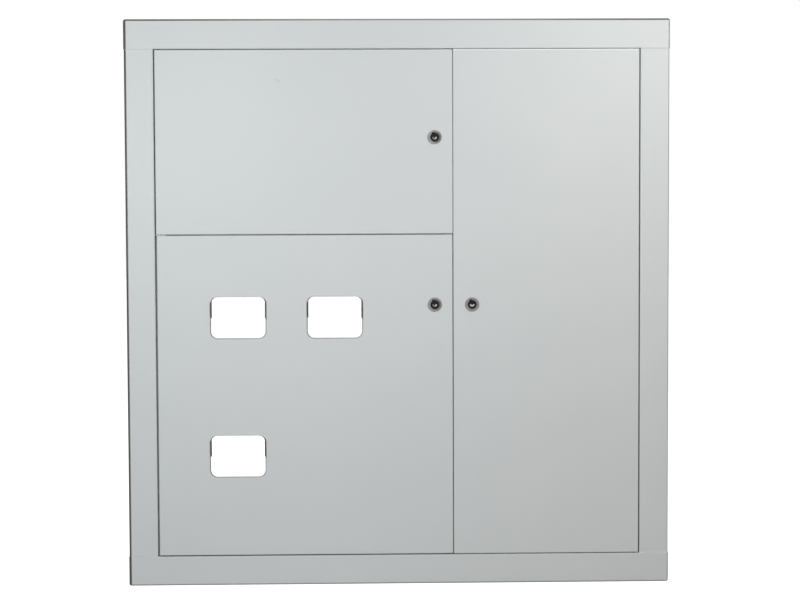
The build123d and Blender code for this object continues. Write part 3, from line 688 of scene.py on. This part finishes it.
def pieceFromTree(name, treeAndDress, points, sizes, finish, body,
                  towards=-1, standsFor=()):
    tree, dress = treeAndDress
    dress.inputs["Material"].default_value = finish
    flat = bpy.data.meshes.new(name + "Points")
    flat.from_pydata([(point.x, point.z * -towards, 0.0) for point in points], [], [])
    carrier = bpy.data.objects.new(name + "Points", flat)
    scene.collection.objects.link(carrier)
    modifier = carrier.modifiers.new("spread", "NODES")
    modifier.node_group = tree
    for item in tree.interface.items_tree:
        if item.item_type == "SOCKET" and item.in_out == "INPUT" and item.name in sizes:
            modifier[item.identifier] = sizes[item.name]
    depsgraph = bpy.context.evaluated_depsgraph_get()
    mesh = bpy.data.meshes.new_from_object(carrier.evaluated_get(depsgraph), depsgraph=depsgraph)
    bpy.data.objects.remove(carrier)
    turnUpright = Euler((math.pi / 2 * -towards, 0.0, 0.0)).to_matrix().to_4x4()
    mesh.transform(turnUpright)
    seatY = points[0].y
    for vertex in mesh.vertices:
        vertex.co.y += seatY
    mesh.name = name
    piece = bpy.data.objects.new(name, mesh)
    scene.collection.objects.link(piece)
    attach(piece, body)
    if standsFor:
        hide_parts(*standsFor)


screws = screwTree()
welds = weldTree()

railScrewLook = {
    "Head Radius": 4.6 * mm,
    "Head Height": 2.6 * mm,
    "Recess Width": 1.3 * mm,
    "Recess Depth": 1.3 * mm,
    "fromEnd": 13.0 * mm,
    "slottedWeb": 1.5 * mm,        # sheet under the heads, in the slotted rails and the hat rails
    "hatWeb": 1.0 * mm,
}


def railScrews(look=railScrewLook):
    slotted = [f"meter_rail_{number}" for number in range(1, 5)] + ["terminal_rail"]
    hats = ["din_rail_upper", "din_rail_lower"]
    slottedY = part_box("terminal_rail")[1].y - look["slottedWeb"]
    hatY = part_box("din_rail_upper")[1].y - look["hatWeb"]
    for name, rails, webY in (("slottedRailScrews", slotted, slottedY), ("hatRailScrews", hats, hatY)):
        points = []
        for rail in rails:
            low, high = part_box(rail)
            for x in (low.x + look["fromEnd"], high.x - look["fromEnd"]):
                points.append(Vector((x, webY, (low.z + high.z) / 2)))
        pieceFromTree(name, screws, points, look, zincPlating, "root")


coverScrewLook = {
    "Head Radius": 4.75 * mm,
    "Head Height": 3.0 * mm,
    "Recess Width": 1.4 * mm,
    "Recess Depth": 1.5 * mm,
}


def coverScrews(look=coverScrewLook):
    low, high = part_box("cover_screws")
    radius = look["Head Radius"]
    coverFace = low.y + look["Head Height"]
    points = []
    for x in (low.x + radius, high.x - radius):
        for z in (low.z + radius, high.z - radius):
            points.append(Vector((x, coverFace, z)))
    pieceFromTree("coverScrews", screws, points, look, zincPlating, "root",
                  standsFor=("cover_screws",))


terminalScrewLook = {
    "Head Radius": 2.5 * mm,
    "Head Height": 1.2 * mm,
    "Recess Width": 0.9 * mm,
    "Recess Depth": 0.8 * mm,
    "pitch": 10.5 * mm,
    "count": 8,
}


def terminalScrews(look=terminalScrewLook):
    for barNode, name in (("neutral_bar", "neutralBarScrews"), ("earth_bar", "earthBarScrews")):
        low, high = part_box(barNode)
        middle = (low + high) / 2
        first = middle.x - look["pitch"] * (look["count"] - 1) / 2
        places = [first + look["pitch"] * i for i in range(look["count"])]
        points = [Vector((x, low.y, middle.z)) for x in places]
        pieceFromTree(name, screws, points, look, zincPlating, "root")


camScrewLook = {
    "Head Radius": 5.0 * mm,
    "Head Height": 3.5 * mm,
    "Recess Width": 1.5 * mm,
    "Recess Depth": 1.7 * mm,
}


def camScrews(look=camScrewLook):
    for key, centre in lockCentres.items():
        node = key + "_lock_cam_screw"
        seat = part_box(key + "_lock_cam")[1].y
        point = Vector((centre.x, seat, centre.z))
        pieceFromTree(key + "CamScrew", screws, [point], look, zincPlating, key + "_lock",
                      towards=1, standsFor=(node,))


spotWeldLook = {
    "Spot Radius": 2.6 * mm,
    "Spot Height": 0.18 * mm,
    "spacing": 70.0 * mm,
    "fromEdge": 5.0 * mm,
    "flange": 1.0 * mm,            # sheet of the stiffeners
}


def stiffenerWelds(look=spotWeldLook):
    for door, name in (("meter_door", "meterDoorSpotWelds"), ("tall_door", "tallDoorSpotWelds")):
        low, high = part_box(door + "_stiffener")
        flangeFace = low.y + look["flange"]
        count = int((high.z - low.z) / look["spacing"])
        first = (low.z + high.z) / 2 - look["spacing"] * (count - 1) / 2
        points = []
        for x in (low.x + look["fromEdge"], high.x - look["fromEdge"]):
            points += [Vector((x, flangeFace, first + look["spacing"] * i)) for i in range(count)]
        pieceFromTree(name, welds, points, look, doorPaint, door, towards=1)


railScrews()
coverScrews()
terminalScrews()
camScrews()
stiffenerWelds()
print("screws and welds set")


# Floor, surroundings, lamps

stageLook = {
    "floorSize": 24.0,
    "floorColour": (0.63, 0.61, 0.575),
    "floorPaler": 1.03,            # times that colour, in patches
    "floorPatches": {"scale": 2.0, "detail": 2.0, "band": (0.3, 0.7)},
    "floorRough": 0.8,
    "floorGlow": 0.88,             # what the camera sees on top of the lit floor
    "surround": 0.21,              # how strongly the white surroundings light the board
}


def rayMask(tree):
    path = tree.nodes.new("ShaderNodeLightPath")
    rays = ("Is Camera Ray", "Is Glossy Ray", "Is Transmission Ray")
    return strongest(tree, *(path.outputs[ray] for ray in rays))


def buildFloor(look=stageLook):
    mesh = bpy.data.meshes.new("floor")
    half = look["floorSize"] / 2
    z = boardLow.z
    corners = [(-half, -half, z), (half, -half, z), (half, half, z), (-half, half, z)]
    mesh.from_pydata(corners, [], [(0, 1, 2, 3)])
    floor = bpy.data.objects.new("floor", mesh)
    scene.collection.objects.link(floor)
    mat, tree, shader, place = startMaterial("paleFloor")
    shade = patches(tree, place, look["floorPatches"])
    paler = tuple(channel * look["floorPaler"] for channel in look["floorColour"])
    tree.links.new(blendColour(tree, shade, look["floorColour"], paler), shader.inputs["Base Color"])
    shader.inputs["Roughness"].default_value = look["floorRough"]
    shader.inputs["Emission Color"].default_value = (1.0, 1.0, 1.0, 1.0)
    glow = product(tree, rayMask(tree), look["floorGlow"])
    tree.links.new(glow, shader.inputs["Emission Strength"])
    mesh.materials.append(mat)


def buildSurroundings(look=stageLook):
    world = bpy.data.worlds.new("whiteStudio")
    world.use_nodes = True
    scene.world = world
    tree = world.node_tree
    background = tree.nodes["Background"]
    background.inputs["Color"].default_value = (1.0, 1.0, 1.0, 1.0)
    strength = spread(tree, rayMask(tree), 0.0, 1.0, look["surround"], 1.0)
    tree.links.new(strength, background.inputs["Strength"])


lamps = {
    "keyLamp": {
        "place": (0.62, -0.95, 0.62),
        "target": (0.30, -0.15, 0.30),
        "size": 0.5,
        "power": 4.25,
        "colour": (1.0, 0.985, 0.95),
    },
    "sideLamp": {
        "place": (-0.60, -1.75, 0.33),
        "target": (-0.24, -0.15, 0.18),
        "size": 0.7,
        "power": 14.2,
        "colour": (0.945, 0.975, 1.0),
    },
    "warmLamp": {
        "place": (0.75, -1.1, -0.60),
        "target": (0.40, -0.15, -0.40),
        "size": 0.5,
        "power": 0.55,
        "colour": (1.0, 0.25, 0.02),
    },
    "rearLamp": {
        "place": (0.6, 2.2, 1.6),
        "target": (0.0, 0.0, 0.0),
        "size": 1.6,
        "power": 30.0,
        "colour": (1.0, 1.0, 1.0),
    },
}


def softLamp(name, spec):
    data = bpy.data.lights.new(name, "AREA")
    data.shape = "SQUARE"
    data.size = spec["size"]
    data.energy = spec["power"]
    data.color = spec["colour"]
    lamp = bpy.data.objects.new(name, data)
    scene.collection.objects.link(lamp)
    lamp.location = spec["place"]
    aim = Vector(spec["target"]) - Vector(spec["place"])
    lamp.rotation_euler = aim.to_track_quat("-Z", "Y").to_euler()
    lamp.visible_camera = False


buildFloor()
buildSurroundings()
for name, spec in lamps.items():
    softLamp(name, spec)
print("stage built:", len(lamps), "lamps")


# Camera

cameraSpot = {
    "place": (-0.0814, -3.6433, 0.2034),
    "turn": (86.767, 0.225, -1.392),   # degrees
    "lens": 89.12,                 # millimetres, as is the sensor's width
    "sensor": 36.0,
}


def placeCamera(spot=cameraSpot):
    data = bpy.data.cameras.new("camera")
    data.lens = spot["lens"]
    data.sensor_width = spot["sensor"]
    camera = bpy.data.objects.new("camera", data)
    scene.collection.objects.link(camera)
    camera.location = spot["place"]
    camera.rotation_euler = Euler([math.radians(angle) for angle in spot["turn"]], "XYZ")
    scene.camera = camera


placeCamera()
scene.view_settings.view_transform = "Standard"
